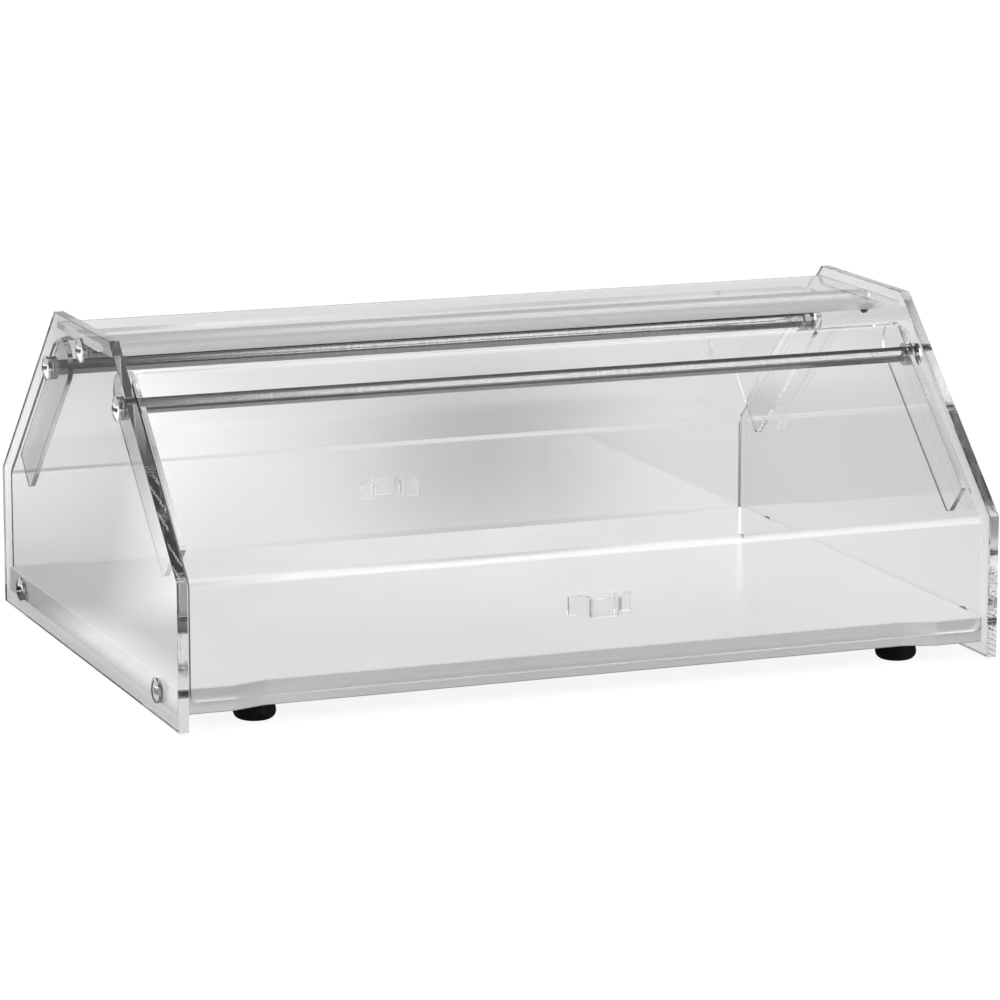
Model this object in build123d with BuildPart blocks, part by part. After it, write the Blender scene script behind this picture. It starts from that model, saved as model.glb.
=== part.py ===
"""Countertop bread display bin: clear side panels, a clear top plate and two lift-up doors.

The bin stands on z = 0, centred on the origin, with its front towards -Y and +X to the right.
Everything is in millimetres.
"""

import os
from math import atan2, cos, degrees, hypot, sin

from build123d import *

# ---- Side panels -----------------------------------------------------------------------------
bin_width = 660.0  # over the outer faces of the side panels
bin_depth = 470.0  # over the upright edges of a side panel
panel_height = 262.0
panel_thickness = 8.0
knee_height = 111.0  # from the panel's bottom edge up to where the slopes begin
ridge_depth = 148.0  # the level stretch along the top of a panel
panel_bevel = 0.4
seat_gap = 0.1  # left where pieces are clamped, closed or glued together, as thick as a glue line

# ---- Top plate -------------------------------------------------------------------------------
plate_thickness = 5.0
plate_depth = 144.0
plate_drop = 7.5  # from the panels' ridge down to the plate's upper face
tenon_depth = 90.0
tenon_gap = 0.1

# ---- Base board and feet -----------------------------------------------------------------------
base_thickness = 20.0
base_lift = 10.5  # from the panels' bottom edge up to the board's underside
scoop_depth = 8.0
scoop_length = 516.0  # the deepest, straight stretch of a scoop
scoop_run_out = 26.0  # along the board, from full depth to none
scoop_round = 12.0
base_bevel = 0.8
foot_diameter = 32.0
foot_height = 13.0
foot_round = 6.0
foot_draft = 1.0  # how much narrower a foot is at its top, on the radius
foot_inset_x = 61.0  # from the end of the board to a foot's centre
foot_inset_y = 25.0  # from the long edge of the board to a foot's centre

# ---- Rods and doors ------------------------------------------------------------------------
rod_diameter = 12.0
hinge_setback = 20.5  # from a panel's slope in to the axis of the hinge rod
hinge_below_ridge = 47.5  # along the slope, from the ridge corner down to the axis
door_inset = 6.0  # from the outline of a panel in to the door's outer face
door_thickness = 4.0
door_bend_radius = 6.0  # inside the bend
door_end_gap = 3.5  # between the end of a door and a side panel
door_lap = 10.2  # how far a door reaches down past the top of the base board
door_overhang = 21.3  # along the slope, from the hinge axis up to the door's top edge
door_lower_round = 6.0
door_upper_round = 10.0
arm_thickness = 4.0
arm_inset = 1.5  # from the end of the sheet in to the arm
arm_width = 34.5
arm_reach = 139.0  # along the slope, from the hinge axis down to the arm's lower end
arm_top_centre = 17.3  # along the slope, from the hinge axis up to the centre of the rounded top
arm_lower_round = 6.0
hinge_play = 0.06  # between a rod and the hole that turns on it, on the radius
spacer_diameter = 18.0
spacer_end_play = 0.3  # shared by the two ends of a spacer

# ---- Door grips ------------------------------------------------------------------------------
grip_thickness = 3.0
grip_height = 14.0
grip_length = 50.0
grip_loop_width = 26.0
grip_reach = 18.0  # from the door out to the far face of the loop
grip_rise = 41.2  # from the door's bottom edge up to the grip's lower edge
grip_loop_round = 5.0  # outside the two far corners of the loop
grip_root_round = 2.0  # inside the two corners where the loop leaves the door

# ---- Screws, inserts and washers ---------------------------------------------------------------
screw_diameter = 6.0
screw_head_diameter = 19.0
screw_head_height = 4.0
screw_head_rim = 1.6
screw_slot_width = 2.4
screw_slot_depth = 1.6
screw_lead = 0.6  # the bevel at the tip of a screw
screw_clearance = 0.3  # between a screw and a plain hole, on the radius
thread_gap = 0.04  # between a screw and the tapped hole that holds it, on the radius
rod_screw_grip = 14.0  # how far a rod screw reaches into the rod
base_screw_grip = 18.0  # how far a base screw reaches into its insert
base_screw_spread = 367.0
insert_diameter = 10.0
insert_length = 22.0
insert_flange_diameter = 14.0
insert_flange_thickness = 1.2
foot_screw_diameter = 4.0
foot_screw_head_diameter = 8.0
foot_screw_head_height = 2.6
foot_screw_grip = 12.0  # how far a foot screw reaches into the board
foot_pocket_diameter = 11.0
foot_pocket_depth = 7.5
washer_diameter = 10.4
washer_thickness = 1.0

# ---- Places that follow from the sizes above ---------------------------------------------------
panel_bottom = foot_height - base_lift
panel_top = panel_bottom + panel_height
knee_z = panel_bottom + knee_height
inner_x = bin_width / 2 - panel_thickness  # inner face of a side panel
end_x = inner_x - seat_gap  # where the board, the rods and the top plate's shoulders end
slope_angle = atan2(panel_height - knee_height, (bin_depth - ridge_depth) / 2)
slope_length = hypot(panel_height - knee_height, (bin_depth - ridge_depth) / 2)

base_bottom = foot_height
base_top = base_bottom + base_thickness
base_screw_z = base_bottom + base_thickness / 2
base_edge_y = bin_depth / 2 - door_inset - door_thickness - seat_gap  # the doors close against it

plate_top = panel_top - plate_drop
plate_bottom = plate_top - plate_thickness

rod_radius = rod_diameter / 2
ridge_rod_z = plate_bottom - seat_gap - rod_radius
hinge_along = slope_length - hinge_below_ridge  # from the knee, up the slope
hinge_y = bin_depth / 2 - hinge_along * cos(slope_angle) - hinge_setback * sin(slope_angle)
hinge_z = knee_z + hinge_along * sin(slope_angle) - hinge_setback * cos(slope_angle)

door_end_x = inner_x - door_end_gap
arm_end_x = door_end_x - arm_inset  # the face of an arm that turns against its spacer
door_bottom = base_top - door_lap
door_face_y = bin_depth / 2 - door_inset
grip_z = door_bottom + grip_rise + grip_height / 2

screw_ends_y_z = [(-hinge_y, hinge_z), (0.0, ridge_rod_z), (hinge_y, hinge_z)]
base_ends_y_z = [(-base_screw_spread / 2, base_screw_z), (base_screw_spread / 2, base_screw_z)]
foot_x = end_x - foot_inset_x
foot_y = base_edge_y - foot_inset_y

# On the front slope: x runs up the slope, y leaves the bin squarely, and the hinge axis is at 0, 0.
front_slope = Plane(
    origin=(0, -hinge_y, hinge_z),
    x_dir=(0, cos(slope_angle), sin(slope_angle)),
    z_dir=(1, 0, 0),
)
door_outside = hinge_setback - door_inset  # from the hinge axis out to the door's outer face
door_inside = door_outside - door_thickness


def finish(name, piece, colour):
    """Labels a finished piece and writes it as its own STEP file."""
    piece.label = name
    piece.color = Color(*colour)
    export_step(piece, f"parts/{name}.step")


def across(piece, plane):
    """The same piece on the other side of the bin."""
    with BuildPart() as other:
        mirror(piece, about=plane)
    return other.part


def ends(places, x, turns):
    """One location for each place on a side panel's outer face, screw heads facing outwards."""
    facing = 0 if x > 0 else 180
    return [
        Location((x, y, z)) * Location((0, 0, 0), (0, 0, facing)) * Location((0, 0, 0), (turn, 0, 0))
        for (y, z), turn in zip(places, turns)
    ]


os.makedirs("parts", exist_ok=True)
clear = (0.85, 0.9, 0.92, 0.4)
steel = (0.72, 0.73, 0.75)
white = (0.93, 0.93, 0.91)
black = (0.06, 0.06, 0.06)
brass = (0.78, 0.62, 0.32)

# ---- Side panels: one outline, sloped front and rear, drilled and slotted ----------------------
screw_hole_radius = screw_diameter / 2 + screw_clearance
with BuildPart() as side_panel_right:
    with BuildSketch(Plane.YZ.offset(inner_x)):
        with BuildLine():
            outline = Polyline(
                (0, panel_bottom),
                (bin_depth / 2, panel_bottom),
                (bin_depth / 2, knee_z),
                (ridge_depth / 2, panel_top),
                (0, panel_top),
            )
            mirror(outline, about=Plane.YZ)
        make_face()
        with Locations(*screw_ends_y_z, *base_ends_y_z):
            Circle(screw_hole_radius, mode=Mode.SUBTRACT)
        with Locations((0, plate_bottom + plate_thickness / 2)):
            Rectangle(tenon_depth + 2 * tenon_gap, plate_thickness + 2 * tenon_gap, mode=Mode.SUBTRACT)
    extrude(amount=panel_thickness)
    rim = edges().filter_by(Axis.X, reverse=True).filter_by(GeomType.LINE)
    lengthy = [edge for edge in rim if edge.length > tenon_depth + 4 * tenon_gap]
    chamfer(lengthy, length=panel_bevel)
finish("side_panel_right", side_panel_right.part, clear)
finish("side_panel_left", across(side_panel_right.part, Plane.YZ), clear)

# ---- Top plate: shoulders against the panels, tenons flush with their outer faces --------------
with BuildPart() as top_plate:
    with BuildSketch(Plane.XY.offset(plate_bottom)):
        Rectangle(2 * end_x, plate_depth)
        Rectangle(bin_width, tenon_depth)
    extrude(amount=plate_thickness)
finish("top_plate", top_plate.part, clear)

# ---- Base board: scooped along the front and the rear, bored for inserts and foot screws -------
insert_seat = [
    Plane(origin=(side * end_x, y, z), x_dir=(0, 1, 0), z_dir=(side, 0, 0))
    for side in (-1, 1)
    for y, z in base_ends_y_z
]
with BuildPart() as base_board:
    with BuildSketch(Plane.XY.offset(base_bottom)):
        Rectangle(2 * end_x, 2 * base_edge_y)
        for side in (-1, 1):
            with BuildLine():
                Polyline(
                    (-scoop_length / 2 - scoop_run_out, side * base_edge_y),
                    (-scoop_length / 2, side * (base_edge_y - scoop_depth)),
                    (scoop_length / 2, side * (base_edge_y - scoop_depth)),
                    (scoop_length / 2 + scoop_run_out, side * base_edge_y),
                    close=True,
                )
            make_face(mode=Mode.SUBTRACT)
        kinks = [v for v in vertices() if abs(v.X) < end_x - scoop_round / 2]
        fillet(kinks, radius=scoop_round)
    extrude(amount=base_thickness)
    chamfer(faces().sort_by(Axis.Z)[-1].edges() + faces().sort_by(Axis.Z)[0].edges(), length=base_bevel)
    for seat in insert_seat:
        with Locations(seat):
            CounterBoreHole(
                insert_diameter / 2 + thread_gap,
                insert_flange_diameter / 2 + thread_gap,
                insert_flange_thickness,
                insert_length,
            )
    with Locations(Plane.XY.offset(base_bottom)):
        with GridLocations(2 * foot_x, 2 * foot_y, 2, 2):
            Cylinder(
                foot_screw_diameter / 2 + thread_gap,
                foot_screw_grip,
                align=(Align.CENTER, Align.CENTER, Align.MIN),
                mode=Mode.SUBTRACT,
            )
finish("base_board", base_board.part, white)

# ---- Rods: turned bar, tapped at both ends, clamped between the panels -------------------------
with BuildPart() as ridge_rod:
    with BuildSketch(Plane.YZ.offset(-end_x)):
        with Locations((0, ridge_rod_z)):
            Circle(rod_radius)
    extrude(amount=2 * end_x)
    for side in (-1, 1):
        with Locations(Plane(origin=(side * end_x, 0, ridge_rod_z), x_dir=(0, 1, 0), z_dir=(side, 0, 0))):
            Hole(screw_diameter / 2 + thread_gap, depth=rod_screw_grip)
finish("ridge_rod", ridge_rod.part, steel)

hinge_drop = Location((0, -hinge_y, hinge_z - ridge_rod_z))
with BuildPart() as front_hinge_rod:
    with Locations(hinge_drop):
        add(ridge_rod.part)
finish("front_hinge_rod", front_hinge_rod.part, steel)
finish("rear_hinge_rod", across(front_hinge_rod.part, Plane.XZ), steel)

# ---- Hinge spacers: rings that keep a door's arms off the side panels --------------------------
spacer_length = inner_x - arm_end_x - spacer_end_play
with BuildPart() as hinge_spacers:
    for side in (-1, 1):
        middle = side * (inner_x + arm_end_x) / 2
        with BuildSketch(Plane.YZ.offset(middle)):
            with Locations((-hinge_y, hinge_z), (hinge_y, hinge_z)):
                Circle(spacer_diameter / 2)
                Circle(rod_radius + hinge_play, mode=Mode.SUBTRACT)
        extrude(amount=spacer_length / 2, both=True)
finish("hinge_spacers", hinge_spacers.part, steel)


# ---- Slotted dome-head screws ------------------------------------------------------------------
def dome_screw(length):
    """A screw along +X with its head beyond x = 0: the shank reaches back to -length."""
    shank = screw_diameter / 2
    head = screw_head_diameter / 2
    with BuildPart() as screw:
        with BuildSketch(Plane.XZ):
            with BuildLine():
                Polyline(
                    (screw_head_height, 0),
                    (-length, 0),
                    (-length, shank - screw_lead),
                    (screw_lead - length, shank),
                    (0, shank),
                    (0, head),
                    (screw_head_rim, head),
                )
                sag = screw_head_height - screw_head_rim
                dome = (head**2 + sag**2) / (2 * sag)
                RadiusArc((screw_head_rim, head), (screw_head_height, 0), dome)
            make_face()
        revolve(axis=Axis.X)
        with BuildSketch(Plane.YZ.offset(screw_head_height)):
            Rectangle(screw_head_diameter, screw_slot_width)
        extrude(amount=-screw_slot_depth, mode=Mode.SUBTRACT)
    return screw.part


rod_screw = dome_screw(panel_thickness + rod_screw_grip - screw_clearance)
base_screw = dome_screw(panel_thickness + base_screw_grip)
head_x = bin_width / 2 + seat_gap
with BuildPart() as rod_screws:
    with Locations(*ends(screw_ends_y_z, -head_x, (2, 7, 15)), *ends(screw_ends_y_z, head_x, (60, 15, 95))):
        add(rod_screw)
finish("rod_screws", rod_screws.part, steel)
with BuildPart() as base_screws:
    with Locations(*ends(base_ends_y_z, -head_x, (90, 15)), *ends(base_ends_y_z, head_x, (50, 110))):
        add(base_screw)
finish("base_screws", base_screws.part, steel)

# ---- Threaded inserts in the ends of the base board --------------------------------------------
with BuildPart() as base_inserts:
    for seat in insert_seat:
        with BuildSketch(seat):
            Circle(insert_diameter / 2)
            Circle(screw_diameter / 2 + thread_gap, mode=Mode.SUBTRACT)
        extrude(amount=-insert_length)
        with BuildSketch(seat):
            Circle(insert_flange_diameter / 2)
            Circle(screw_diameter / 2 + thread_gap, mode=Mode.SUBTRACT)
        extrude(amount=-insert_flange_thickness)
finish("base_inserts", base_inserts.part, brass)

# ---- Feet: domed rubber, a steel washer and a pan-head screw up into the board -----------------
foot_radius = foot_diameter / 2
with BuildPart() as one_foot:
    with BuildSketch(Plane.XZ):
        with BuildLine():
            flat_edge = foot_radius - foot_round
            RadiusArc((foot_radius, foot_round), (flat_edge, 0), foot_round)
            Polyline(
                (flat_edge, 0),
                (0, 0),
                (0, foot_height),
                (foot_radius - foot_draft, foot_height),
                (foot_radius, foot_round),
            )
        make_face()
    revolve(axis=Axis.Z)
    Cylinder(
        foot_pocket_diameter / 2,
        foot_pocket_depth,
        align=(Align.CENTER, Align.CENTER, Align.MIN),
        mode=Mode.SUBTRACT,
    )
    Hole(foot_screw_diameter / 2 + screw_clearance)
with BuildPart() as one_washer:
    with BuildSketch(Plane.XY.offset(foot_pocket_depth)):
        Circle(washer_diameter / 2)
        Circle(foot_screw_diameter / 2 + screw_clearance, mode=Mode.SUBTRACT)
    extrude(amount=-washer_thickness)
head_seat = foot_pocket_depth - washer_thickness
with BuildPart() as one_foot_screw:
    with BuildSketch(Plane.XY.offset(head_seat)):
        Circle(foot_screw_head_diameter / 2)
    extrude(amount=-foot_screw_head_height)
    chamfer(faces().sort_by(Axis.Z)[0].edges(), length=foot_screw_head_height / 3)
    with BuildSketch(Plane.XY.offset(head_seat)):
        Circle(foot_screw_diameter / 2)
    extrude(amount=foot_height + foot_screw_grip - head_seat - screw_lead)
    with Locations(Plane.XY.offset(head_seat - foot_screw_head_height)):
        long_arm = foot_screw_head_diameter / 2
        short_arm = foot_screw_diameter / 4
        Box(long_arm, short_arm, foot_screw_head_height, mode=Mode.SUBTRACT)
        Box(short_arm, long_arm, foot_screw_head_height, mode=Mode.SUBTRACT)
for name, piece, colour in (
    ("rubber_feet", one_foot.part, black),
    ("foot_washers", one_washer.part, steel),
    ("foot_screws", one_foot_screw.part, steel),
):
    with BuildPart() as four:
        with GridLocations(2 * foot_x, 2 * foot_y, 2, 2):
            add(piece)
    finish(name, four.part, colour)

# ---- Doors: the front one is drawn, the rear one mirrors it ------------------------------------
# The sheet's outer face runs parallel to the side panels' outline, door_inset inside it.
slope_end = front_slope.from_local_coords((door_overhang, door_outside, 0))
knee_y = -door_face_y
knee_rise = (hinge_y + knee_y) * sin(slope_angle) / cos(slope_angle)
outer_knee_z = hinge_z + door_outside / cos(slope_angle) + knee_rise
with BuildPart() as front_door_sheet:
    with BuildSketch(Plane.YZ.offset(-door_end_x)):
        with BuildLine():
            FilletPolyline(
                (-door_face_y, door_bottom),
                (-door_face_y, outer_knee_z),
                (slope_end.Y, slope_end.Z),
                radius=door_bend_radius + door_thickness,
            )
            offset(amount=door_thickness, side=Side.RIGHT)
        make_face()
    extrude(amount=2 * door_end_x)
    fillet(edges().filter_by(Axis.Y), radius=door_lower_round)
    across_slope = Axis((0, 0, 0), (0, -sin(slope_angle), cos(slope_angle)))
    fillet(edges().filter_by(across_slope), radius=door_upper_round)

# An arm is a tongue glued on edge under the end of the sheet, bored for the hinge rod.
arm_glued = door_inside - seat_gap
arm_free = arm_glued - arm_width
with BuildPart() as front_door_arm_right:
    with BuildSketch(front_slope.offset(arm_end_x)):
        with BuildLine():
            Polyline(
                (arm_top_centre, arm_glued),
                (-arm_reach, arm_glued),
                (-arm_reach, arm_free),
                (arm_top_centre, arm_free),
            )
            ThreePointArc(
                (arm_top_centre, arm_free),
                (arm_top_centre + arm_width / 2, (arm_glued + arm_free) / 2),
                (arm_top_centre, arm_glued),
            )
        make_face()
        fillet(vertices().group_by(Axis.X)[0].sort_by(Axis.Y)[0], radius=arm_lower_round)
        Circle(rod_radius + hinge_play, mode=Mode.SUBTRACT)
    extrude(amount=-arm_thickness)

# A grip is a narrow strip bent out into a loop, its two ends glued flat on the sheet.
grip_glued_y = -door_face_y - seat_gap
loop_half_width = grip_loop_width / 2
with BuildPart() as front_door_grip:
    with BuildSketch(Plane.XY.offset(grip_z - grip_height / 2)):
        with BuildLine():
            outline = FilletPolyline(
                (0, -door_face_y - grip_reach),
                (loop_half_width, -door_face_y - grip_reach),
                (loop_half_width, grip_glued_y - grip_thickness),
                (grip_length / 2, grip_glued_y - grip_thickness),
                radius=(grip_loop_round, grip_root_round),
            )
            mirror(outline, about=Plane.YZ)
            offset(amount=grip_thickness, side=Side.LEFT)
        make_face()
    extrude(amount=grip_height)

for name, piece in (
    ("door_sheet", front_door_sheet.part),
    ("door_arm_right", front_door_arm_right.part),
    ("door_arm_left", across(front_door_arm_right.part, Plane.YZ)),
    ("door_grip", front_door_grip.part),
):
    finish(f"front_{name}", piece, clear)
    finish(f"rear_{name}", across(piece, Plane.XZ), clear)

print("hinge axis", round(hinge_y, 3), round(hinge_z, 3), "slope", round(degrees(slope_angle), 3))
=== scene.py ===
"""Looks of a clear countertop bread bin: finishes, rolled threads and a plain pale studio.

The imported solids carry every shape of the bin. This script gives each of them its finish, puts
rolled threads on the shanks of the dome-head screws, and sets up the floor, the light and the
camera.
"""

import logging
import math
from abc import ABC, abstractmethod
from collections.abc import Iterable, Sequence
from dataclasses import dataclass, field
from enum import Enum, IntEnum
from typing import Any

import bmesh
import bpy
from bpy.types import Material, Mesh, Node, NodeSocket, NodeTree
from mathutils import Euler, Matrix, Vector


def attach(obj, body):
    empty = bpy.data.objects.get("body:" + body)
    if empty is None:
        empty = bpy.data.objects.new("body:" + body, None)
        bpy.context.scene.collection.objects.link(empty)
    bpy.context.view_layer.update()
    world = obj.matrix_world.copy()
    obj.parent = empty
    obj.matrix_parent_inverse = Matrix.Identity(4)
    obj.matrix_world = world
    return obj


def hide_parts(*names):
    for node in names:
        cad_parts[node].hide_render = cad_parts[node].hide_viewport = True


Triple = tuple[float, float, float]
Feed = float | NodeSocket | Node

log = logging.getLogger("bread_bin")
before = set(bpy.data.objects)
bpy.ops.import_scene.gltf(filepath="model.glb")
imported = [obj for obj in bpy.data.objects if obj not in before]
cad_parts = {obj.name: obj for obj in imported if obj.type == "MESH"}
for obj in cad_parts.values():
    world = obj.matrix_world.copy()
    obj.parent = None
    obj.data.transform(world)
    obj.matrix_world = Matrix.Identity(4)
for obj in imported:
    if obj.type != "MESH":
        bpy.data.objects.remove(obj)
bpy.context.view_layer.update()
MM = 0.001
EVEN: Triple = (1.0, 1.0, 1.0)
# Stretches of a noise's levels: nearly all of them, the upper half, or the peaks alone.
MOST = (0.3, 0.7)
UPPER = (0.5, 0.8)
PEAKS = (0.55, 0.8)
# A light path's depth is past this once it has met a surface of that kind.
ONCE = 0.5
# How far the camera's line of sight is turned from X on the floor.
SIGHT_DEG = 68.7


def linear(hex_colour: str, alpha: float = 1.0) -> tuple[float, float, float, float]:
    """Turns an sRGB hex colour into the linear colour that a shader works in.

    Args:
        hex_colour: The colour as six hex digits.
        alpha: The fourth channel, passed through.

    Returns:
        Red, green, blue and alpha, linear.
    """
    channels = [int(hex_colour[i : i + 2], 16) / 255 for i in (0, 2, 4)]
    red, green, blue = (
        c / 12.92 if c <= 0.04045 else ((c + 0.055) / 1.055) ** 2.4 for c in channels
    )
    return (red, green, blue, alpha)


def add_node(
    tree: NodeTree,
    kind: str,
    inputs: dict[Any, Any] | None = None,
    **settings: Any,
) -> Node:
    """Adds one shader node, sets its properties and sets or links its inputs.

    Args:
        tree: The node tree that gets the node.
        kind: Blender's name of the node type.
        inputs: Input name or index, to a plain value, to the output socket that feeds it, or to
            the node whose first output feeds it.
        **settings: Properties of the node itself.

    Returns:
        The new node.
    """
    node = tree.nodes.new(kind)
    for name, value in settings.items():
        setattr(node, name, value)
    for key, value in (inputs or {}).items():
        source = value.outputs[0] if isinstance(value, Node) else value
        if isinstance(source, NodeSocket):
            tree.links.new(source, node.inputs[key])
        else:
            node.inputs[key].default_value = source
    return node


def empty_tree(owner: Any) -> NodeTree:
    """Gives a material or a world an empty node tree.

    Args:
        owner: The material or the world.

    Returns:
        Its node tree.
    """
    owner.use_nodes = True
    owner.node_tree.nodes.clear()
    return owner.node_tree


@dataclass(frozen=True)
class Band:
    """A level that runs from low to high while a measure runs from start to end."""

    start: float
    end: float
    low: float = 0.0
    high: float = 1.0

    def of(self, measure: Feed) -> dict[int, Any]:
        """What a Map Range node takes in to give this level for the measure."""
        return dict(enumerate((measure, self.start, self.end, self.low, self.high)))


@dataclass(frozen=True)
class Oval:
    """A soft oval on the floor, full in its middle and nothing beyond its reach."""

    gain: float
    centre_m: tuple[float, float]
    reach_m: tuple[float, float]
    turn_deg: float = 0.0

    def build(self, tree: NodeTree) -> Node:
        """Builds the oval without its gain.

        Args:
            tree: The node tree that gets the nodes.

        Returns:
            The node that gives one in the middle of the oval and nothing outside it.
        """
        coords = add_node(tree, "ShaderNodeTexCoord")
        placed = add_node(
            tree,
            "ShaderNodeMapping",
            {
                "Vector": coords.outputs["Object"],
                "Location": (*self.centre_m, 0.0),
                "Rotation": (0.0, 0.0, math.radians(self.turn_deg)),
                "Scale": (*self.reach_m, 1.0),
            },
            vector_type="TEXTURE",
        )
        away = add_node(tree, "ShaderNodeVectorMath", {0: placed}, operation="LENGTH")
        return add_node(
            tree,
            "ShaderNodeMapRange",
            Band(0.0, 1.0, 1.0, 0.0).of(away.outputs["Value"]),
            interpolation_type="SMOOTHSTEP",
        )


def grain(tree: NodeTree, spacing_mm: float, stretch: Triple = EVEN, detail: float = 2.0) -> Node:
    """Noise on Object coordinates, from 0 to 1, drawn out along an axis where its scale is small.

    Args:
        tree: The node tree that gets the nodes.
        spacing_mm: How far apart the grains lie.
        stretch: Scale along X, Y and Z, less than 1 for grains that run along that axis.
        detail: Octaves of finer noise.

    Returns:
        The noise node.
    """
    coords = add_node(tree, "ShaderNodeTexCoord")
    placed = add_node(
        tree, "ShaderNodeMapping", {"Vector": coords.outputs["Object"], "Scale": stretch}
    )
    per_metre = 1.0 / (spacing_mm * MM)
    return add_node(
        tree, "ShaderNodeTexNoise", {"Vector": placed, "Scale": per_metre, "Detail": detail}
    )


# ---- Finishes ------------------------------------------------------------------------------------


class Lie(Enum):
    """Which way the big faces of a sheet point, and so where its cut edges are."""

    UPRIGHT = "X"
    LEVEL = "Z"
    BENT = "bent along X"


class Finish(ABC):
    """A finish that one shader gives. Each kind says what that shader takes in."""

    name: str

    @abstractmethod
    def surface(self, tree: NodeTree) -> dict[str, Any]:
        """Builds the patterns of the finish.

        Args:
            tree: The node tree that gets the nodes.

        Returns:
            The shader's inputs by name.
        """

    def build(self) -> Material:
        """Builds the material.

        Returns:
            The material, with its pattern nodes and its one shader.
        """
        material = bpy.data.materials.new(self.name)
        tree = empty_tree(material)
        shader = add_node(tree, "ShaderNodeBsdfPrincipled", self.surface(tree))
        add_node(tree, "ShaderNodeOutputMaterial", {"Surface": shader})
        return material


@dataclass(frozen=True)
class ClearAcrylic(Finish):
    """Cast acrylic sheet, clear and glossy, laser cut, its edges polished.

    It has almost no colour of its own. The eye sees what lies behind it, a little sheen, and
    dark and bright bands where the cut edges bend the light. The faces of cast sheet are never
    quite flat, wiping leaves faint hazy strokes on them, and the cutting leaves fine ripples
    that run across the thickness of each edge. Ripples that fine don't show from where the
    camera stands, so they are drawn 2 mm apart.
    """

    name: str
    lie: Lie
    tint: str = "FDFDFD"
    ior: float = 1.49
    swell_mm: float = 60.0
    swell_depth_mm: float = 0.02
    ripple_mm: float = 2.0
    ripple_run: float = 0.12
    ripple_depth_mm: float = 0.05
    stroke_mm: float = 9.0
    stroke_run: Triple = (1.0, 0.15, 0.4)
    stroke_haze: float = 0.012
    edge_haze: float = 0.0

    def surface(self, tree: NodeTree) -> dict[str, Any]:
        """Builds the swell of the faces, the ripples of the edges and the wipe strokes.

        Args:
            tree: The node tree that gets the nodes.

        Returns:
            The shader's inputs by name.
        """
        swell = grain(tree, self.swell_mm, detail=1.0)
        flat = add_node(
            tree, "ShaderNodeBump", {"Height": swell, "Distance": self.swell_depth_mm * MM}
        )
        edge = self.edge_mask(tree)
        ripples = grain(tree, self.ripple_mm, self.ripple_stretch())
        depth = add_node(tree, "ShaderNodeMath", {0: ripples, 1: edge}, operation="MULTIPLY")
        cut = add_node(
            tree,
            "ShaderNodeBump",
            {"Height": depth, "Distance": self.ripple_depth_mm * MM, "Normal": flat},
        )
        strokes = grain(tree, self.stroke_mm, self.stroke_run, detail=4.0)
        haze = add_node(tree, "ShaderNodeMapRange", Band(*PEAKS, 0.0, self.stroke_haze).of(strokes))
        roughness = add_node(
            tree, "ShaderNodeMath", {0: edge, 1: self.edge_haze, 2: haze}, operation="MULTIPLY_ADD"
        )
        return {
            "Base Color": linear(self.tint),
            "Roughness": roughness,
            "IOR": self.ior,
            "Transmission Weight": 1.0,
            "Normal": cut,
        }

    def ripple_stretch(self) -> Triple:
        """Runs the ripples of a cut edge across the thickness of the sheet.

        Returns:
            The scale of the ripples along X, Y and Z.
        """
        if self.lie is Lie.UPRIGHT:
            return (self.ripple_run, 1.0, 1.0)
        if self.lie is Lie.LEVEL:
            return (1.0, 1.0, self.ripple_run)
        return EVEN

    def edge_mask(self, tree: NodeTree) -> Node:
        """Builds what is one on the cut edges of the sheet and nothing on its big faces.

        Args:
            tree: The node tree that gets the nodes.

        Returns:
            The node that gives the mask.
        """
        coords = add_node(tree, "ShaderNodeTexCoord")
        facing = add_node(tree, "ShaderNodeSeparateXYZ", {0: coords.outputs["Normal"]})
        axis = "X" if self.lie is Lie.BENT else self.lie.value
        along = add_node(tree, "ShaderNodeMath", {0: facing.outputs[axis]}, operation="ABSOLUTE")
        if self.lie is Lie.BENT:
            return along
        return add_node(tree, "ShaderNodeMath", {0: 1.0, 1: along}, operation="SUBTRACT")


@dataclass(frozen=True)
class Metal(Finish):
    """A bare or plated metal, with the fine marks that its making leaves.

    The marks run the way the tool ran: round a turned bar, as a soft mottle on plating, or
    across a machined brass face. The eye sees them as a slight break in the highlight.
    """

    name: str
    colour: str
    darker: str
    roughness: float
    mark_mm: float
    mark_run: Triple = EVEN
    mark_depth_mm: float = 0.002
    mark_haze: float = 0.04

    def surface(self, tree: NodeTree) -> dict[str, Any]:
        """Builds the marks, which also carry the tone and the haze.

        Args:
            tree: The node tree that gets the nodes.

        Returns:
            The shader's inputs by name.
        """
        marks = grain(tree, self.mark_mm, self.mark_run, detail=3.0)
        bump = add_node(
            tree, "ShaderNodeBump", {"Height": marks, "Distance": self.mark_depth_mm * MM}
        )
        share = add_node(tree, "ShaderNodeMapRange", Band(*MOST).of(marks))
        tone = add_node(
            tree, "ShaderNodeMixRGB", {0: share, 1: linear(self.darker), 2: linear(self.colour)}
        )
        hazy = self.roughness + self.mark_haze
        haze = add_node(tree, "ShaderNodeMapRange", Band(*MOST, hazy, self.roughness).of(marks))
        return {"Base Color": tone, "Roughness": haze, "Metallic": 1.0, "Normal": bump}


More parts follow.
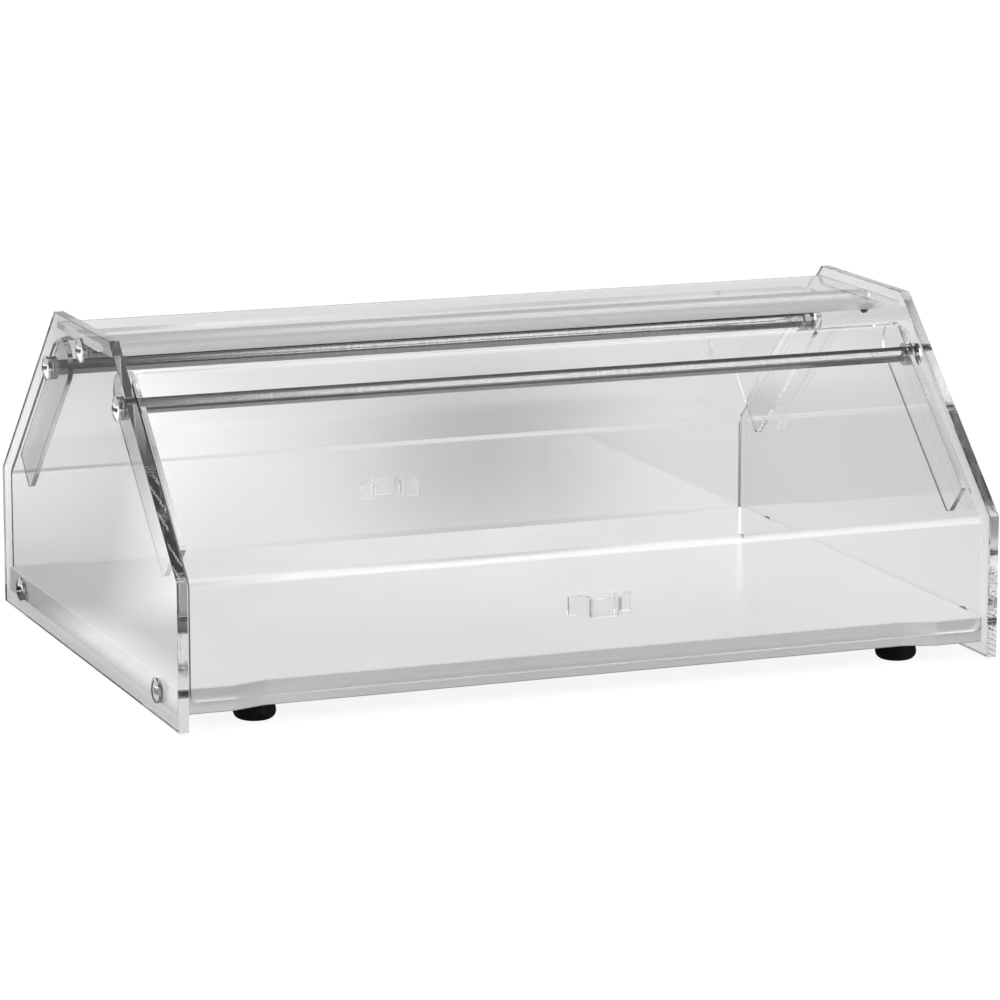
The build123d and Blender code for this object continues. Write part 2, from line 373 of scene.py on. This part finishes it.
@dataclass(frozen=True)
class PolyethyleneBoard(Finish):
    """White high-density polyethylene cutting board, pressed, its edges routed.

    The eye sees an even milky white with a soft gloss, broken by a very fine pressed grain and
    a few faint knife-fine scuffs, and a slightly cooler white where the light sinks in.
    """

    name: str = "polyethylene_board_white"
    colour: str = "F4F5F6"
    cooler: str = "F0F1F3"
    ior: float = 1.54
    roughness: float = 0.16
    grain_mm: float = 0.9
    grain_depth_mm: float = 0.006
    cloud_mm: float = 70.0
    scuff_mm: float = 14.0
    scuff_run: Triple = (0.12, 1.0, 1.0)
    scuff_haze: float = 0.06

    def surface(self, tree: NodeTree) -> dict[str, Any]:
        """Builds the clouds of tone, the pressed grain and the scuffs.

        Args:
            tree: The node tree that gets the nodes.

        Returns:
            The shader's inputs by name.
        """
        cloud = add_node(tree, "ShaderNodeMapRange", Band(*MOST).of(grain(tree, self.cloud_mm)))
        tone = add_node(
            tree, "ShaderNodeMixRGB", {0: cloud, 1: linear(self.cooler), 2: linear(self.colour)}
        )
        pressed = grain(tree, self.grain_mm, detail=3.0)
        bump = add_node(
            tree, "ShaderNodeBump", {"Height": pressed, "Distance": self.grain_depth_mm * MM}
        )
        scuffs = grain(tree, self.scuff_mm, self.scuff_run, detail=6.0)
        scuffed = self.roughness + self.scuff_haze
        haze = add_node(
            tree, "ShaderNodeMapRange", Band(*UPPER, self.roughness, scuffed).of(scuffs)
        )
        return {"Base Color": tone, "Roughness": haze, "IOR": self.ior, "Normal": bump}


@dataclass(frozen=True)
class FootRubber(Finish):
    """Black natural rubber, moulded.

    The eye sees a deep matt black with a fine pebbled skin and a dusting of grey where it has
    rubbed on a counter.
    """

    name: str = "rubber_moulded_black"
    colour: str = "0B0B0C"
    rubbed: str = "1C1C1D"
    specular: float = 0.2
    roughness: float = 0.65
    pebble_mm: float = 0.7
    pebble_depth_mm: float = 0.05
    pebble_haze: float = 0.1
    rub_mm: float = 6.0

    def surface(self, tree: NodeTree) -> dict[str, Any]:
        """Builds the rubbed patches and the pebbles.

        Args:
            tree: The node tree that gets the nodes.

        Returns:
            The shader's inputs by name.
        """
        rub = add_node(
            tree, "ShaderNodeMapRange", Band(*UPPER).of(grain(tree, self.rub_mm, detail=4.0))
        )
        tone = add_node(
            tree, "ShaderNodeMixRGB", {0: rub, 1: linear(self.colour), 2: linear(self.rubbed)}
        )
        pebbles = grain(tree, self.pebble_mm)
        bump = add_node(
            tree, "ShaderNodeBump", {"Height": pebbles, "Distance": self.pebble_depth_mm * MM}
        )
        smooth, rough = self.roughness - self.pebble_haze, self.roughness + self.pebble_haze
        haze = add_node(tree, "ShaderNodeMapRange", Band(*MOST, smooth, rough).of(pebbles))
        return {
            "Base Color": tone,
            "Roughness": haze,
            "Specular IOR Level": self.specular,
            "Normal": bump,
        }


# Panels, plate and doors are one sort of sheet, and differ in where their cut edges lie.
PANEL = ClearAcrylic("cast_acrylic_panel", Lie.UPRIGHT)
# The long edges of the top plate are sawn and scraped, which leaves them satin.
PLATE = ClearAcrylic("cast_acrylic_plate", Lie.LEVEL, edge_haze=0.32)
BENT = ClearAcrylic("cast_acrylic_line_bent", Lie.BENT)
# Bar finished in a lathe is a mid grey mirror with marks round it, which change quickly along X
# alone. Real ones are too fine to show, so they are drawn 1.2 mm apart.
ROD = Metal(
    "stainless_bar_turned", "979797", "8A8A8A", 0.1, mark_mm=1.2, mark_run=(1.0, 0.05, 0.05)
)
# Rings turned and parted off keep a soft, slightly hazy shine.
SPACER = Metal("stainless_ring_turned", "A8AAAD", "8E9093", 0.2, mark_mm=0.5)
# Bright nickel is even; only a faint mottle breaks its mirror.
SCREW = Metal("nickel_plate_bright", "DADBDC", "D2D3D5", 0.04, mark_mm=1.5)
# Painted shade: the walls and floor of each screw slot get this dark, dull grey in place of the
# shade that falls down in the slot.
SLOT_PAINTED_SHADE = Metal("nickel_plate_slot_painted_shade", "4A4B4D", "3A3B3C", 0.3, mark_mm=0.8)
# Rolling leaves a thread grey and a little rough.
THREAD = Metal("steel_thread_rolled", "A6A7A9", "808184", 0.22, mark_mm=0.4)
# Clear zinc is a pale bluish grey with a soft sheen.
ZINC = Metal("zinc_plate_clear", "C4C8CC", "ADB1B6", 0.3, mark_mm=1.0)
# Turned brass is a warm yellow with tool marks close together.
BRASS = Metal("brass_machined", "C9A562", "B48F4C", 0.25, mark_mm=0.3)


@dataclass
class Finishes:
    """Every finish on the bin, each built once."""

    panel: Material = field(default_factory=PANEL.build)
    plate: Material = field(default_factory=PLATE.build)
    bent: Material = field(default_factory=BENT.build)
    rod: Material = field(default_factory=ROD.build)
    spacer: Material = field(default_factory=SPACER.build)
    screw: Material = field(default_factory=SCREW.build)
    # The dark grey of painted shade in the screw slots.
    slot_painted_shade: Material = field(default_factory=SLOT_PAINTED_SHADE.build)
    thread: Material = field(default_factory=THREAD.build)
    zinc: Material = field(default_factory=ZINC.build)
    brass: Material = field(default_factory=BRASS.build)
    board: Material = field(default_factory=PolyethyleneBoard().build)
    rubber: Material = field(default_factory=FootRubber().build)


def dress(nodes: Iterable[str], material: Material) -> None:
    """Puts one material on every slot of some CAD nodes.

    Args:
        nodes: Names of the CAD nodes.
        material: The finish that they get.
    """
    for node in nodes:
        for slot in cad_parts[node].material_slots:
            slot.material = material
        log.info("%s: %s", node, material.name)


# ---- Sub-assemblies ------------------------------------------------------------------------------


class ScrewPart(IntEnum):
    """The material slots of a dome-head screw."""

    HEAD = 0
    THREAD = 1
    # Slot walls and floors, which get a dark grey of painted shade.
    SLOT_PAINTED_SHADE = 2


@dataclass
class DomeScrews:
    """Dome-head screws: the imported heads, on shanks with a rolled thread.

    The thread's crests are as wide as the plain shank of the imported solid, which this replaces.
    Each centre has a screw at the left and one at the right, seated on a panel's outer face.
    """

    node: str
    centres_yz_mm: Sequence[tuple[float, float]]
    length_mm: float
    body: str = "case"
    seat_mm: float = 330.1
    seat_slack_mm: float = 0.02
    diameter_mm: float = 6.0
    head_radius_mm: float = 9.5
    rim_mm: float = 0.2
    slot_floor_mm: float = 2.4
    floor_slack_mm: float = 0.1
    # The X of a face's normal is under the first on a slot's wall and over the second on its floor.
    wall_tilt: float = 0.3
    floor_tilt: float = 0.99
    head_weld_mm: float = 0.001
    pitch_mm: float = 1.0
    thread_depth_mm: float = 0.56
    crest_share: float = 0.2
    turn_steps: int = 20
    thread_weld_mm: float = 0.005
    smooth_deg: float = 28.0

    def build(self, finishes: Finishes) -> bpy.types.Object:
        """Builds the screws of one node as one piece.

        Args:
            finishes: The finishes of the bin.

        Returns:
            The piece, riding on its body.
        """
        bm = self.heads()
        shank = self.shank()
        for y, z in self.centres_yz_mm:
            for hand in (-1, 1):
                others = set(bm.verts)
                bm.from_mesh(shank)
                added = [v for v in bm.verts if v not in others]
                place = Matrix.Translation(Vector((hand * self.seat_mm, y, z)) * MM)
                facing = Matrix.Rotation(0 if hand > 0 else math.pi, 4, "Z")
                bmesh.ops.transform(bm, matrix=place @ facing, verts=added)
        bpy.data.meshes.remove(shank)
        mesh = bpy.data.meshes.new(f"{self.node}_threaded")
        bm.to_mesh(mesh)
        bm.free()
        for finish in (finishes.screw, finishes.thread, finishes.slot_painted_shade):
            mesh.materials.append(finish)
        mesh.shade_smooth()
        mesh.set_sharp_from_angle(angle=math.radians(self.smooth_deg))
        piece = bpy.data.objects.new(mesh.name, mesh)
        bpy.context.scene.collection.objects.link(piece)
        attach(piece, self.body)
        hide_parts(self.node)
        log.info("%s: %d triangles", piece.name, sum(len(p.vertices) - 2 for p in mesh.polygons))
        return piece

    def heads(self) -> bmesh.types.BMesh:
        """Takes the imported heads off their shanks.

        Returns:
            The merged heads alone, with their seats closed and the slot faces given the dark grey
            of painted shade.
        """
        bm = bmesh.new()
        bm.from_mesh(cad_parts[self.node].data)
        bmesh.ops.remove_doubles(bm, verts=bm.verts, dist=self.head_weld_mm * MM)
        seat = (self.seat_mm - self.seat_slack_mm) * MM
        inner = [v for v in bm.verts if abs(v.co.x) < seat]
        bmesh.ops.delete(bm, geom=inner, context="VERTS")
        bmesh.ops.holes_fill(bm, edges=[e for e in bm.edges if e.is_boundary], sides=0)
        bm.normal_update()
        for polygon in bm.faces:
            painted_shade_face = self.in_slot(polygon)
            # Slot faces get the dark grey of painted shade; the rest stays bright nickel.
            polygon.material_index = ScrewPart.SLOT_PAINTED_SHADE if painted_shade_face else ScrewPart.HEAD
        return bm

    def in_slot(self, polygon: bmesh.types.BMFace) -> bool:
        """Tells the walls and the floor of a slot from the dome and its rim.

        Args:
            polygon: A face of a packed head.

        Returns:
            Whether it lies in the slot.
        """
        middle = polygon.calc_center_median() / MM
        rise = abs(middle.x) - self.seat_mm - self.slot_floor_mm
        tilt = abs(polygon.normal.x)
        if tilt > self.floor_tilt:
            return abs(rise) < self.floor_slack_mm
        off_axis = min(math.hypot(middle.y - y, middle.z - z) for y, z in self.centres_yz_mm)
        inside = off_axis < self.head_radius_mm - self.rim_mm
        return tilt < self.wall_tilt and inside and rise > -self.floor_slack_mm

    def shank(self) -> Mesh:
        """One threaded shank, made by turning the outline of one pitch along a helix.

        Returns:
            The mesh of a shank that starts inside its head, just above x = 0, and runs to -X.
        """
        crest = self.diameter_mm / 2
        root = crest - self.thread_depth_mm
        flank = (1 - 2 * self.crest_share) / 2
        outline = (
            (0.0, root),
            (self.crest_share, root),
            (self.crest_share + flank, crest),
            (2 * self.crest_share + flank, crest),
            (1.0, root),
        )
        bm = bmesh.new()
        verts = [
            bm.verts.new(Vector(((1 - share) * self.pitch_mm, 0, radius)) * MM)
            for share, radius in outline
        ]
        edges = [bm.edges.new(pair) for pair in zip(verts, verts[1:])]
        steps = round(self.length_mm / self.pitch_mm * self.turn_steps)
        bmesh.ops.spin(
            bm,
            geom=[*verts, *edges],
            cent=(0, 0, 0),
            axis=(1, 0, 0),
            dvec=Vector((-self.pitch_mm / self.turn_steps, 0, 0)) * MM,
            angle=math.tau * steps / self.turn_steps,
            steps=steps,
            use_merge=False,
        )
        bmesh.ops.remove_doubles(bm, verts=bm.verts, dist=self.thread_weld_mm * MM)
        bmesh.ops.holes_fill(bm, edges=[e for e in bm.edges if e.is_boundary], sides=0)
        bmesh.ops.recalc_face_normals(bm, faces=bm.faces)
        for polygon in bm.faces:
            polygon.material_index = ScrewPart.THREAD
        mesh = bpy.data.meshes.new("shank")
        bm.to_mesh(mesh)
        bm.free()
        return mesh


@dataclass
class Carcass:
    """The two side panels, the top plate tenoned into them, and the rods screwed between them."""

    panels: tuple[str, ...] = ("side_panel_left", "side_panel_right")
    plates: tuple[str, ...] = ("top_plate",)
    rods: tuple[str, ...] = ("ridge_rod", "front_hinge_rod", "rear_hinge_rod")
    rings: tuple[str, ...] = ("hinge_spacers",)
    hinge_y_mm: float = 94.622
    hinge_z_mm: float = 217.053
    ridge_z_mm: float = 245.9
    screw_length_mm: float = 21.7

    def build(self, finishes: Finishes) -> None:
        """Dresses the pieces and threads the screws in the rod ends.

        Args:
            finishes: The finishes of the bin.
        """
        dress(self.panels, finishes.panel)
        dress(self.plates, finishes.plate)
        dress(self.rods, finishes.rod)
        dress(self.rings, finishes.spacer)
        ends = (
            (-self.hinge_y_mm, self.hinge_z_mm),
            (0.0, self.ridge_z_mm),
            (self.hinge_y_mm, self.hinge_z_mm),
        )
        DomeScrews("rod_screws", ends, self.screw_length_mm).build(finishes)


@dataclass
class Base:
    """The board screwed between the panels, its brass inserts and its four rubber feet."""

    board: tuple[str, ...] = ("base_board",)
    inserts: tuple[str, ...] = ("base_inserts",)
    feet: tuple[str, ...] = ("rubber_feet",)
    foot_fixings: tuple[str, ...] = ("foot_washers", "foot_screws")
    screw_y_mm: float = 183.5
    screw_z_mm: float = 23.0
    screw_length_mm: float = 26.0

    def build(self, finishes: Finishes) -> None:
        """Dresses the pieces and threads the screws in the ends of the board.

        Args:
            finishes: The finishes of the bin.
        """
        dress(self.board, finishes.board)
        dress(self.inserts, finishes.brass)
        dress(self.feet, finishes.rubber)
        dress(self.foot_fixings, finishes.zinc)
        ends = ((-self.screw_y_mm, self.screw_z_mm), (self.screw_y_mm, self.screw_z_mm))
        DomeScrews("base_screws", ends, self.screw_length_mm).build(finishes)


class Side(Enum):
    """Which of the two doors."""

    FRONT = "front"
    REAR = "rear"


@dataclass
class LiftDoor:
    """A bent sheet with two hinge arms and a grip, all glued."""

    side: Side

    def build(self, finishes: Finishes) -> None:
        """Dresses the sheet, the grip and the arms.

        Args:
            finishes: The finishes of the bin.
        """
        door = f"{self.side.value}_door"
        dress([f"{door}_sheet", f"{door}_grip"], finishes.bent)
        dress([f"{door}_arm_{hand}" for hand in ("left", "right")], finishes.panel)


# ---- Studio --------------------------------------------------------------------------------------


Levels = tuple[tuple[float, float], ...]


@dataclass
class Studio:
    """The pale floor, the soft light round the bin and the camera.

    Clear acrylic and bright steel show nothing but their surroundings, so the floor and the
    walls have shades that only shiny and clear things pick up.
    """

    eye_mm: Triple = (-1296.7, -3349.3, 832.8)
    turn_deg: float = 21.32
    dip_deg: float = 11.44
    lens_mm: float = 167.3
    sensor_mm: float = 36.0
    sight_end_m: float = 200.0
    floor_m: float = 60.0
    bounces: int = 48

    # The floor's own grey, to the camera and to all else, and the light added for the camera.
    camera_shade: float = 0.15
    floor_shade: float = 0.05
    camera_lift: float = 0.9

    # The floor seen through the acrylic: a plain light, with a painted pool of light behind the
    # bin's left end and painted shade behind its middle and its right end.
    clear_lift: float = 0.75
    clear_ovals: tuple[Oval, ...] = (
        Oval(0.7, (-0.24, 0.90), (1.1, 0.40), SIGHT_DEG),
        Oval(-0.32, (0.26, 0.70), (0.8, 0.2), SIGHT_DEG),
        Oval(-0.23, (0.86, 0.50), (1.1, 0.36), SIGHT_DEG),
    )

    # The floor in front to shiny things, in metres from the bin's middle: grey near by and bright
    # far off, with a darker oval of painted shade, and a painted bright strip beside the left panel
    # that fades outwards.
    front_light: Band = Band(0.3, 1.0, 0.1, 1.0)
    front_shade: Oval = Oval(-0.85, (-0.12, -0.5), (0.25, 0.6))
    strip_light: Band = Band(-0.36, -0.335, 0.9, 0.0)
    strip_fade: Band = Band(-0.41, -0.365, 0.2, 1.0)

    # The floor behind to shiny things: a painted black band, the flag, and paler painted stripes
    # beside it, all aslant. The levels go by metres to the right of flag_start, which is left of
    # the bin.
    behind_edge: Band = Band(0.1, 0.22)
    flag_start: float = -0.41
    flag_slant: float = 0.34
    flag_levels: Levels = (
        (0.0, 1.0),
        (0.08, 0.03),
        (0.175, 0.03),
        (0.215, 0.22),
        (0.3, 0.22),
        (0.35, 0.8),
        (0.48, 0.62),
        (0.63, 0.3),
        (0.88, 0.05),
    )
    flag_light: float = 1.35
    # Painted light: two bright soft pools on the floor behind the bin.
    bright_ovals: tuple[Oval, ...] = (
        Oval(0.75, (0.34, 0.25), (0.25, 0.25)),
        Oval(1.1, (-0.13, 1.15), (0.3, 0.7)),
    )

    # The room to shiny things, by the X and Y of the direction. They part the dark left side from
    # the soft box at the front right, which is weaker far round, and both of these from the back.
    box_edge: Band = Band(0.294, 0.316)
    box_light: Band = Band(0.47, 0.57, 3.2, 0.8)
    back_edge: Band = Band(-0.42, -0.18)
    # Matt things are lit from all round, and more from the left.
    matt_light: Band = Band(-1.0, 0.0, 1.95, 0.75)

    # Grey levels of the room by height: 0 is straight down, 0.5 level, 1 straight up.
    left_levels: Levels = ((0.5, 0.06), (0.9, 0.06), (0.97, 0.3), (1.0, 0.5))
    box_levels: Levels = ((0.45, 0.8), (0.5, 1.0), (0.87, 0.95), (0.94, 0.75), (1.0, 0.35))
    back_levels: Levels = (
        (0.5, 0.78),
        (0.6, 0.76),
        (0.68, 0.62),
        (0.72, 0.03),
        (0.93, 0.03),
        (1.0, 0.8),
    )

    def build(self) -> None:
        """Sets up the camera, the room and the floor."""
        scene = bpy.context.scene
        scene.view_settings.view_transform = "Standard"
        scene.cycles.max_bounces = self.bounces
        scene.cycles.transmission_bounces = self.bounces
        scene.cycles.glossy_bounces = self.bounces
        scene.cycles.blur_glossy = 0.0
        self.camera()
        self.room()
        self.floor()

    def camera(self) -> None:
        """Stands the camera a little above the bin, a good way off, with a long lens."""
        data = bpy.data.cameras.new("camera")
        data.lens = self.lens_mm
        data.sensor_width = self.sensor_mm
        data.clip_end = self.sight_end_m
        camera = bpy.data.objects.new("camera", data)
        camera.location = Vector(self.eye_mm) * MM
        tip, turn = math.radians(90 - self.dip_deg), math.radians(-self.turn_deg)
        camera.rotation_euler = Euler((tip, 0, turn))
        bpy.context.scene.collection.objects.link(camera)
        bpy.context.scene.camera = camera

    def greys(self, tree: NodeTree, place: Feed, levels: Levels) -> Node:
        """Builds grey levels along some measure.

        Args:
            tree: The node tree that gets the node.
            place: What gives the place, from 0 to 1.
            levels: Place and level of each stop.

        Returns:
            The node that gives the grey.
        """
        ramp = add_node(tree, "ShaderNodeValToRGB", {0: place})
        stops = ramp.color_ramp.elements
        while len(stops) < len(levels):
            stops.new(1.0)
        for stop, (position, level) in zip(stops, levels):
            stop.position = position
            stop.color = (level, level, level, 1)
        return ramp

    def room(self) -> None:
        """Builds the room: white to the camera, soft light to matt things, walls to shiny ones."""
        world = bpy.data.worlds.new("studio")
        bpy.context.scene.world = world
        tree = empty_tree(world)
        coords = add_node(tree, "ShaderNodeTexCoord")
        way = add_node(tree, "ShaderNodeSeparateXYZ", {0: coords.outputs["Generated"]})
        path = add_node(tree, "ShaderNodeLightPath")
        by_camera, bounced = path.outputs["Is Camera Ray"], path.outputs["Diffuse Depth"]
        lit = add_node(tree, "ShaderNodeMath", {0: bounced, 1: ONCE}, operation="GREATER_THAN")
        even = add_node(tree, "ShaderNodeMath", {0: lit, 1: by_camera}, operation="MAXIMUM")
        soft = add_node(tree, "ShaderNodeMapRange", self.matt_light.of(way.outputs["X"]))
        level = add_node(tree, "ShaderNodeMix", {0: by_camera, 2: soft, 3: 1.0})
        seen = add_node(tree, "ShaderNodeMix", {0: even, 2: self.walls(tree, way), 3: level})
        light = add_node(tree, "ShaderNodeBackground", {"Color": (1, 1, 1, 1), "Strength": seen})
        add_node(tree, "ShaderNodeOutputWorld", {"Surface": light})

    def walls(self, tree: NodeTree, way: Node) -> Node:
        """Builds what shiny things see of the room.

        Args:
            tree: The node tree of the room.
            way: The node that gives the direction looked in, by axis.

        Returns:
            The node that gives the light of the walls.
        """
        x, y, z = way.outputs
        height = add_node(tree, "ShaderNodeMapRange", Band(-1.0, 1.0).of(z))
        strength = add_node(tree, "ShaderNodeMapRange", self.box_light.of(x))
        box_grey = self.greys(tree, height, self.box_levels)
        box = add_node(tree, "ShaderNodeMath", {0: box_grey, 1: strength}, operation="MULTIPLY")
        left = self.greys(tree, height, self.left_levels)
        rightness = add_node(tree, "ShaderNodeMapRange", self.box_edge.of(x))
        front = add_node(tree, "ShaderNodeMix", {0: rightness, 2: left, 3: box})
        back = self.greys(tree, height, self.back_levels)
        backness = add_node(tree, "ShaderNodeMapRange", self.back_edge.of(y))
        return add_node(tree, "ShaderNodeMix", {0: backness, 2: front, 3: back})

    def floor(self) -> None:
        """Lays a wide pale floor."""
        bm = bmesh.new()
        bmesh.ops.create_grid(bm, x_segments=1, y_segments=1, size=self.floor_m / 2)
        mesh = bpy.data.meshes.new("floor")
        bm.to_mesh(mesh)
        bm.free()
        floor = bpy.data.objects.new("floor", mesh)
        bpy.context.scene.collection.objects.link(floor)
        mesh.materials.append(self.painted_floor())

    def painted_floor(self) -> Material:
        """Pale matt paint that glows: lifted to white for the camera, and painted with uneven light
        and shade for shiny and clear things.

        Returns:
            The material.
        """
        material = bpy.data.materials.new("painted_floor_pale")
        tree = empty_tree(material)
        path = add_node(tree, "ShaderNodeLightPath")
        by_camera, bounced = path.outputs["Is Camera Ray"], path.outputs["Diffuse Depth"]
        glanced = add_node(
            tree,
            "ShaderNodeMath",
            {0: path.outputs["Glossy Depth"], 1: ONCE},
            operation="GREATER_THAN",
        )
        through = self.seen_through(tree)
        straight = add_node(tree, "ShaderNodeMix", {0: by_camera, 2: through, 3: self.camera_lift})
        mirrored = self.mirrored(tree)
        lift = add_node(tree, "ShaderNodeMix", {0: glanced, 2: straight, 3: mirrored})
        unlit = add_node(tree, "ShaderNodeMath", {0: bounced, 1: ONCE}, operation="LESS_THAN")
        glow = add_node(tree, "ShaderNodeMath", {0: lift, 1: unlit}, operation="MULTIPLY")
        shade = add_node(
            tree, "ShaderNodeMix", {0: by_camera, 2: self.floor_shade, 3: self.camera_shade}
        )
        matt = add_node(tree, "ShaderNodeBsdfDiffuse", {"Color": shade})
        lent = add_node(tree, "ShaderNodeEmission", {"Strength": glow})
        both = add_node(tree, "ShaderNodeAddShader", {0: matt, 1: lent})
        add_node(tree, "ShaderNodeOutputMaterial", {"Surface": both})
        return material

    def seen_through(self, tree: NodeTree) -> Feed:
        """Builds how bright the floor is through the acrylic.

        Args:
            tree: The node tree of the floor.

        Returns:
            What gives the brightness.
        """
        level: Feed = self.clear_lift
        for oval in self.clear_ovals:
            terms = {0: oval.build(tree), 1: oval.gain, 2: level}
            level = add_node(tree, "ShaderNodeMath", terms, operation="MULTIPLY_ADD")
        return level

    def mirrored(self, tree: NodeTree) -> Feed:
        """Builds how bright the floor is to shiny things.

        Args:
            tree: The node tree of the floor.

        Returns:
            What gives the brightness.
        """
        coords = add_node(tree, "ShaderNodeTexCoord")
        place = coords.outputs["Object"]
        x, y, _ = add_node(tree, "ShaderNodeSeparateXYZ", {0: place}).outputs
        across = add_node(
            tree, "ShaderNodeMath", {0: y, 1: self.flag_slant, 2: x}, operation="MULTIPLY_ADD"
        )
        from_start = add_node(
            tree, "ShaderNodeMath", {0: across, 1: self.flag_start}, operation="SUBTRACT"
        )
        flag = self.greys(tree, from_start, self.flag_levels)
        behind = add_node(
            tree, "ShaderNodeMath", {0: flag, 1: self.flag_light}, operation="MULTIPLY"
        )
        edge = add_node(tree, "ShaderNodeMapRange", self.behind_edge.of(y))
        front = self.mirrored_front(tree, place, x)
        level: Feed = add_node(tree, "ShaderNodeMix", {0: edge, 2: front, 3: behind})
        for oval in self.bright_ovals:
            terms = {0: oval.build(tree), 1: oval.gain}
            bright = add_node(tree, "ShaderNodeMath", terms, operation="MULTIPLY")
            level = add_node(tree, "ShaderNodeMath", {0: level, 1: bright}, operation="MAXIMUM")
        return level

    def mirrored_front(self, tree: NodeTree, place: NodeSocket, x: NodeSocket) -> Node:
        """Builds how bright the floor in front is to shiny things.

        Args:
            tree: The node tree of the floor.
            place: The socket that gives the place on the floor.
            x: The socket that gives its X.

        Returns:
            The node that gives the brightness.
        """
        away = add_node(tree, "ShaderNodeVectorMath", {0: place}, operation="LENGTH")
        open_floor = add_node(
            tree, "ShaderNodeMapRange", self.front_light.of(away.outputs["Value"])
        )
        shade = add_node(
            tree,
            "ShaderNodeMath",
            {0: self.front_shade.build(tree), 1: self.front_shade.gain, 2: 1.0},
            operation="MULTIPLY_ADD",
        )
        shaded = add_node(tree, "ShaderNodeMath", {0: open_floor, 1: shade}, operation="MULTIPLY")
        light = add_node(tree, "ShaderNodeMapRange", self.strip_light.of(x))
        fade = add_node(tree, "ShaderNodeMapRange", self.strip_fade.of(x))
        strip = add_node(tree, "ShaderNodeMath", {0: light, 1: fade}, operation="MULTIPLY")
        return add_node(tree, "ShaderNodeMath", {0: shaded, 1: strip}, operation="MAXIMUM")


def main() -> None:
    """Dresses the bin, threads its screws and sets up the studio."""
    finishes = Finishes()
    Carcass().build(finishes)
    Base().build(finishes)
    for side in Side:
        LiftDoor(side).build(finishes)
    Studio().build()


if __name__ == "__main__":
    logging.basicConfig(level=logging.INFO, format="%(name)s: %(message)s")
    main()
